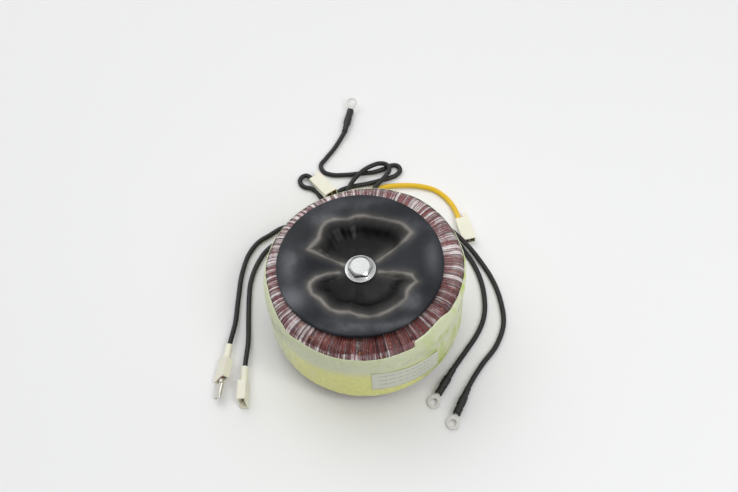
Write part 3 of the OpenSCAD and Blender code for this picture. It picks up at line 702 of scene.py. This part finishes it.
# Outline of the drawn-down pits, as (azimuth, radius) about the bolt, and the creases that run to the bolt
NORTH = [
    (31, 34.8), (41, 34.8), (46, 34.5), (54, 32.7), (64, 31.6), (74, 30.8), (83, 31.4), (92, 31.2),
    (100, 30.1), (106, 31), (114, 33), (121, 33.6), (129, 32.3), (140, 28.8), (150, 29.2), (158, 30.9)]
SOUTH = [
    (-161, 29.5), (-156, 31.1), (-148, 31.7), (-139, 30.2), (-131, 31.1), (-123, 32.1), (-115, 31.6),
    (-105, 30.1), (-95, 31.6), (-85, 33), (-76, 33.3), (-66, 33.1), (-55, 33.2), (-45, 33.2), (-38, 31.1),
    (-31, 31.2), (-24, 32.9)]
CREASES = [
    NORTH, SOUTH,
    [(31, 34.8), (28, 29.4), (27, 23.5), (26, 16.9), (24, 11)],
    [(158, 30.9), (158, 20), (157, 9.5)],
    [(-161, 29.5), (-166, 24.9), (-170, 19.1), (-173, 12)],
    [(-24, 32.9), (-18, 29.2), (-16, 23.4), (-17, 16.9), (-13, 10.5)]]


def flat_point(a, r):
    return Vector((r * math.cos(math.radians(a)), r * math.sin(math.radians(a))))


CREASE_LINES = [[flat_point(a, r) for a, r in line] for line in CREASES]


# Dull patches on the rubber: centre, half widths and strength, about the bolt
HAZE = [
    (-21, 32, 9, 5, 0.7), (-38, 4, 6, 14, 0.55), (-38, -20, 8, 7, 0.6), (33, 22, 7, 6, 0.6),
    (40, 2, 4, 12, 0.35), (27, -26, 6, 5, 0.6), (0, 40, 20, 5, 0.3), (6, -40, 22, 4, 0.6),
    (-14, -38, 10, 5, 0.35)]


def haze_at(x, y):
    return min(1.0, sum(
        strength * math.exp(-((x - cx) / wide) ** 2 - ((y - cy) / deep) ** 2)
        for cx, cy, wide, deep, strength in HAZE))


def crease_distance(x, y):
    """Distance to the nearest crease, in millimetres."""
    best = 99.0
    point = Vector((x, y))
    for line in CREASE_LINES:
        for p, q in zip(line, line[1:]):
            along_line = q - p
            t = min(1.0, max(0.0, (point - p).dot(along_line) / along_line.length_squared))
            best = min(best, (point - p - along_line * t).length)
    return best


def on_ridge(a):
    best = 0
    for mid, half in zip(RIDGE_MID, RIDGE_HALF):
        off = abs((a - mid + 540) % 360 - 180)
        best = max(best, clamp((half + RIDGE_FALL - off) / RIDGE_FALL))
    return best * best * (3 - 2 * best)


def pit_edge(a):
    """Radius of the pits' outline at an azimuth."""
    return by_azimuth(SOUTH + NORTH, a)


def pad_height(r, a):
    w = on_ridge(a)
    in_pit = r * PIT_RIM / pit_edge(a)
    return PAD_DROP * ((1 - w) * smooth_along(PIT, in_pit) + w * smooth_along(RIDGE, r))


def pad_mesh():
    """The drawn-down pad: an edge profile spun round, then every vertex set to the pad's height."""
    top = [(BOLT_HOLE_R + (PAD_R - 0.5 - BOLT_HOLE_R) * k / 66, 1.0) for k in range(67)]
    edge = [(PAD_R - 0.15, 0.9), (PAD_R, 0.75), (PAD_R, 0.2), (PAD_R - 0.2, 0.0)]
    under = [(PAD_R - 4 - (PAD_R - 4 - BOLT_HOLE_R) * k / 14, 0.0) for k in range(15)]
    bm = spun(top + edge + under, 420)
    base = RING_Z1 + 0.05 - PAD_DROP
    crease = bm.verts.layers.float.new("crease")
    pit = bm.verts.layers.float.new("pit")
    haze = bm.verts.layers.float.new("haze")
    for v in bm.verts:
        x, y = v.co.x / MM, v.co.y / MM
        r, a = math.hypot(x, y), math.degrees(math.atan2(y, x))
        up = v.co.z / MM
        wave = 0.14 * rough(x * 0.09, y * 0.09, 0, 51) + 0.1 * rough(x * 0.3, y * 0.12, 0, 52)
        wave *= clamp((44 - r) / 8) * clamp((r - 9.5) / 4)
        gap = crease_distance(x, y)
        width = 0.9 + 0.5 * rough(x * 0.2, y * 0.2, 0, 53)
        strength = 0.75 + 0.6 * rough(x * 0.11, y * 0.11, 0, 54)
        raised = math.exp(-(gap / width) ** 2) * strength
        # crease: painted highlight along the pits' edges and creases, with a wider, fainter painted halo
        # round them
        v[crease] = clamp(raised + 0.34 * math.exp(-(gap / 3.2) ** 2) * strength)
        # pit: painted shade, darkening the rubber inside the drawn-down pits
        v[pit] = clamp((pit_edge(a) - r) / 2.0) * (1 - on_ridge(a))
        v[haze] = haze_at(x, y)
        v.co.y += clamp((r - 34) / 11) * (0.8 - 1.4 * y / PAD_R) * MM
        height = base + pad_height(r, a) + up * PAD_T + wave
        v.co.z = (height + 0.25 * raised * clamp((r - 10) / 6)) * MM
    bmesh.ops.translate(bm, verts=bm.verts[:], vec=SHIFT * MM)
    return to_mesh(bm, "pad")


def smooth_rubber(name="smooth_rubber"):
    f = Finish(name)
    at = f.where()
    cloud = f.noise(at, 38, 4, 0.55)
    fine = f.noise(at, 1500, 2)
    brushed = f.noise(f.stretched(at, (1, 0.05, 1)), 420, 3, 0.6)
    crease, pit, haze = f.attribute("crease"), f.attribute("pit"), f.attribute("haze")
    outer = f.mix(cloud.ramp(0.35, 0.7), (0.0055, 0.0065, 0.0095), (0.013, 0.015, 0.021))
    dull = (haze * cloud.ramp(0.36, 0.6, 0.3, 1.3)).least(1.0)
    outer = f.mix(dull, outer, (0.150, 0.156, 0.172))
    # painted shade: inside the pits the rubber is painted nearly black
    pit_shade = f.mix(brushed.ramp(0.4, 0.65), (0.0010, 0.0010, 0.0012), (0.0032, 0.0032, 0.0036))
    base = f.mix(pit, outer, pit_shade)
    # painted highlight: the rubber is lightened along the creases, where light would glint off their bends
    crease_highlight = crease * (0.35 + brushed * 0.4 + cloud * 0.4)
    return f.set(
        Base_Color=f.mix(crease_highlight.least(1.0), base, (0.27, 0.25, 0.225)),
        Roughness=cloud.ramp(0.3, 0.7, 0.26, 0.4) + brushed * 0.08 + dull * 0.12,
        Specular_IOR_Level=0.22,
        Normal=f.bump(cloud * 0.8 + brushed * 0.1 + fine * 0.05, 0.5, 0.0010)).material


show("pad", pad_mesh(), smooth_rubber(), ["top_pad"])


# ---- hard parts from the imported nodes, with broken edges ----


SHARP = math.radians(25)      # edges with a turn above this are rounded
NEARLY_FLAT = math.radians(1)


def softened(node, bevel):
    """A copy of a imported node's mesh, merged, with its sharp edges rounded."""
    bm = bmesh.new()
    bm.from_mesh(NODES[node].data)
    bmesh.ops.remove_doubles(bm, verts=bm.verts[:], dist=1e-6)
    bmesh.ops.dissolve_limit(bm, angle_limit=NEARLY_FLAT, verts=bm.verts[:], edges=bm.edges[:])
    sharp = [e for e in bm.edges if e.is_manifold and e.calc_face_angle(0) > SHARP]
    bmesh.ops.bevel(
        bm, geom=sharp, offset=bevel * MM, offset_type="OFFSET", segments=2, profile=0.5,
        affect="EDGES", clamp_overlap=True, material=-1)
    mesh = bpy.data.meshes.new(node + "_soft")
    bm.to_mesh(mesh)
    bm.free()
    return mesh


def mark_inside(mesh, lead, half):
    """Notes the vertices that line a housing's cells: past its neck, and within half of its middle plane. The
    nylon is painted dark there, as painted shade in the cells.
    """
    back = end_matrix(lead).inverted()
    start = NECK_LEN + 0.4 if lead.startswith("lead_left") else 0.4
    layer = mesh.attributes.new("inside", "FLOAT", "POINT")
    for v, mark in zip(mesh.vertices, layer.data):
        at = back @ v.co / MM
        mark.value = 1.0 if abs(at.z) < half and at.x > start else 0.0


def zinc(name="bright_zinc", base=(0.46, 0.465, 0.46)):
    f = Finish(name)
    at = f.where()
    spangle = f.noise(at, 260, 4, 0.6)
    scratch = f.noise(f.stretched(at, (1, 14, 1)), 300, 2)
    return f.set(
        Base_Color=f.mix(spangle, base, tuple(min(1, c * 1.2) for c in base)), Metallic=1.0,
        Roughness=spangle.ramp(0.3, 0.7, 0.2, 0.34) + scratch * 0.06,
        Normal=f.bump(spangle + scratch * 0.4, 0.15, 0.0002)).material


def dull_tin():
    """Plating that has gone white and soft in its shine."""
    f = Finish("matt_tin")
    at = f.where()
    cloud = f.noise(at, 240, 4, 0.6)
    return f.set(
        Base_Color=f.mix(cloud, (0.66, 0.64, 0.60), (0.76, 0.75, 0.71)), Metallic=0.35,
        Roughness=cloud.ramp(0.3, 0.7, 0.42, 0.56),
        Normal=f.bump(f.noise(at, 1400, 3), 0.15, 0.0001)).material


def nylon():
    f = Finish("natural_nylon")
    at = f.where()
    cloud = f.noise(at, 220, 3)
    skin = f.mix(cloud, (0.80, 0.76, 0.62), (0.87, 0.84, 0.72))
    return f.set(
        # the cells' lining is painted dark brown: painted shade in the hollows
        Base_Color=f.mix(f.attribute("inside"), skin, (0.20, 0.165, 0.09)),
        Roughness=cloud.ramp(0.3, 0.7, 0.34, 0.46), Subsurface_Weight=0.15, Subsurface_Scale=0.002,
        Normal=f.bump(f.noise(at, 1800, 2), 0.12, 0.0001)).material


ZINC = zinc()
TIN = zinc("bright_tin", (0.62, 0.60, 0.55))
MATT_TIN = dull_tin()
NYLON = nylon()
RUBBER = smooth_rubber("pad_rubber_under")

for node, material, slot, bevel in (
        ("flange_bolt", ZINC, "zinc_steel", 0.25), ("flat_washer", ZINC, "zinc_steel", 0.1),
        ("spring_washer", ZINC, "dark_steel", 0.1), ("nut", ZINC, "zinc_steel", 0.2),
        ("mounting_dish", ZINC, "zinc_steel", 0.2), ("bottom_pad", RUBBER, "pad_rubber", 0.3)):
    show(node + "_shown", softened(node, bevel), material, [node], smooth=False)

for lead, node in [(lead, n) for lead, names in ON_LEAD.items() for n in names]:
    if node.startswith("housing"):
        shell = softened(node, 0.15)
        mark_inside(shell, lead, CELL_HALF)
        show(node + "_shown", shell, NYLON, [node], smooth=False)
    elif node.startswith("terminal"):
        show(node + "_shown", softened(node, 0.06), TIN, [node], smooth=False)
    elif node.startswith("eye"):
        show(node + "_shown", softened(node, 0.12), MATT_TIN, [node], smooth=False)


# ---- shrink sleeves ----

# Radius of a sleeve along its length, from the lead to the terminal's barrel
SLEEVE_LINE = [(0, 1.8), (5, 1.86), (7.6, 2.46), (11.5, 2.46), (13.4, 2.22), (18.5, 2.3)]
BORE_R = 1.75      # what is nearer the axis belongs to a sleeve's ends and isn't dented


def sleeve_mesh(lead, seed):
    """A tube along X that has shrunk over lead, crimp and barrel, with fine wrinkles."""
    def radius(x):
        swell = along(SLEEVE_LINE, x)
        ripple = 0.07 * math.sin(x * 2.3 + seed) + 0.05 * math.sin(x * 5.1 + seed * 2)
        return min(SHRINK_R, swell + ripple)

    bm = bmesh.new()
    rings = 46
    line = [(x, radius(x)) for x in (SHRINK_LEN * k / rings for k in range(rings + 1))]
    line = [(0.0, 1.6)] + line + [(SHRINK_LEN, 1.5)]
    verts = [bm.verts.new((x * MM, 0, r * MM)) for x, r in line]
    edges = [bm.edges.new(pair) for pair in zip(verts, verts[1:])]
    bmesh.ops.spin(
        bm, geom=verts + edges, cent=(0, 0, 0), axis=(1, 0, 0), steps=40, angle=math.tau, use_merge=True,
        use_duplicate=False)
    for v in bm.verts:
        r = math.hypot(v.co.y, v.co.z)
        if r < BORE_R * MM:
            continue
        dent = 0.2 * rough(v.co.x / MM * 0.7, v.co.y / MM * 0.7, v.co.z / MM * 0.7, seed)
        dent += 0.09 * rough(v.co.x / MM * 2.4, v.co.y / MM * 1.2, v.co.z / MM * 1.2, seed + 9)
        k = min(SHRINK_R * MM, r + dent * MM) / r
        v.co.y *= k
        v.co.z *= k
    bmesh.ops.transform(bm, matrix=end_matrix(lead), verts=bm.verts[:])
    return to_mesh(bm, "sleeve")


def shrunk_plastic():
    f = Finish("shrunk_plastic")
    at = f.where()
    wrinkle = f.noise(at, 700, 4, 0.6)
    return f.set(
        Base_Color=(0.008, 0.008, 0.0085), Roughness=wrinkle.ramp(0.3, 0.7, 0.34, 0.5),
        Normal=f.bump(wrinkle, 0.5, 0.0003)).material


SHRUNK = shrunk_plastic()
for seed, (lead, node) in enumerate((
        ("lead_right_inner", "shrink_right_inner"), ("lead_right_outer", "shrink_right_outer"),
        ("lead_back_ring", "shrink_back"))):
    show(node + "_shown", sleeve_mesh(lead, 61 + seed), SHRUNK, [node])

for lead, (piece, points) in leads.items():
    round(length_of(points), 3)


# ---- hidden inside ----


def plain(name, colour, metallic, rough_low, rough_high):
    f = Finish(name)
    cloud = f.noise(f.where(), 300, 3)
    return f.set(
        Base_Color=f.mix(cloud, tuple(c * 0.8 for c in colour), colour), Metallic=metallic,
        Roughness=cloud.ramp(0.3, 0.7, rough_low, rough_high)).material


INSIDE = {
    "wound_core": plain("silicon_steel", (0.3, 0.31, 0.33), 1.0, 0.35, 0.5),
    "core_insulation": plain("polyester_film", (0.7, 0.62, 0.42), 0.0, 0.2, 0.3),
    "inner_winding": plain("copper_wire", (0.4, 0.12, 0.06), 0.5, 0.25, 0.4),
    "winding_insulation": bpy.data.materials["polyester_film"],
}
for node, material in INSIDE.items():
    mesh = NODES[node].data
    mesh.materials.clear()
    mesh.materials.append(material)


# ---- floor and light ----


def make_floor():
    bm = bmesh.new()
    bmesh.ops.create_grid(bm, x_segments=1, y_segments=1, size=3)
    mesh = to_mesh(bm, "floor", recalc=False)
    floor = bpy.data.objects.new("floor", mesh)
    floor.location.z = -0.00005
    bpy.context.collection.objects.link(floor)
    f = Finish("white_table")
    f.set(Base_Color=(0.87, 0.87, 0.87), Roughness=0.8, Specular_IOR_Level=0.15)
    mesh.materials.append(f.material)


LIGHTS_AIM = Vector((0, 0.02, 0.02))


def make_light(name, place, size, power):
    data = bpy.data.lights.new(name, "AREA")
    data.shape = "RECTANGLE"
    data.size, data.size_y = size
    data.energy = power
    lamp = bpy.data.objects.new(name, data)
    lamp.location = place
    lamp.rotation_euler = (Vector(place) - LIGHTS_AIM).to_track_quat("Z", "Y").to_euler()
    bpy.context.collection.objects.link(lamp)


def make_world():
    """A bright room behind the part, dim on the side it is seen from."""
    world = bpy.data.worlds.new("studio")
    world.use_nodes = True
    tree = world.node_tree
    way = tree.nodes.new("ShaderNodeTexCoord")
    split = tree.nodes.new("ShaderNodeSeparateXYZ")
    level = tree.nodes.new("ShaderNodeMapRange")
    level.interpolation_type = "SMOOTHSTEP"
    for key, value in (("From Min", -0.75), ("From Max", 0.45), ("To Min", 0.1), ("To Max", 0.74)):
        level.inputs[key].default_value = value
    background = tree.nodes["Background"]
    background.inputs["Color"].default_value = (0.985, 0.99, 1.0, 1)
    tree.links.new(way.outputs["Generated"], split.inputs[0])
    tree.links.new(split.outputs["Y"], level.inputs["Value"])
    tree.links.new(level.outputs[0], background.inputs["Strength"])
    bpy.context.scene.world = world


make_floor()
make_world()
make_light("key", (-0.6, 0.9, 1.2), (1.2, 0.9), 5)
make_light("fill", (0.7, -0.7, 1.1), (0.7, 0.7), 5)
make_light("glint", (0.42, -0.30, 0.9), (0.12, 0.12), 0.9)
make_light("top", (0.0, 0.2, 1.5), (2.2, 2.2), 7)

bpy.context.scene.view_settings.view_transform = "Standard"
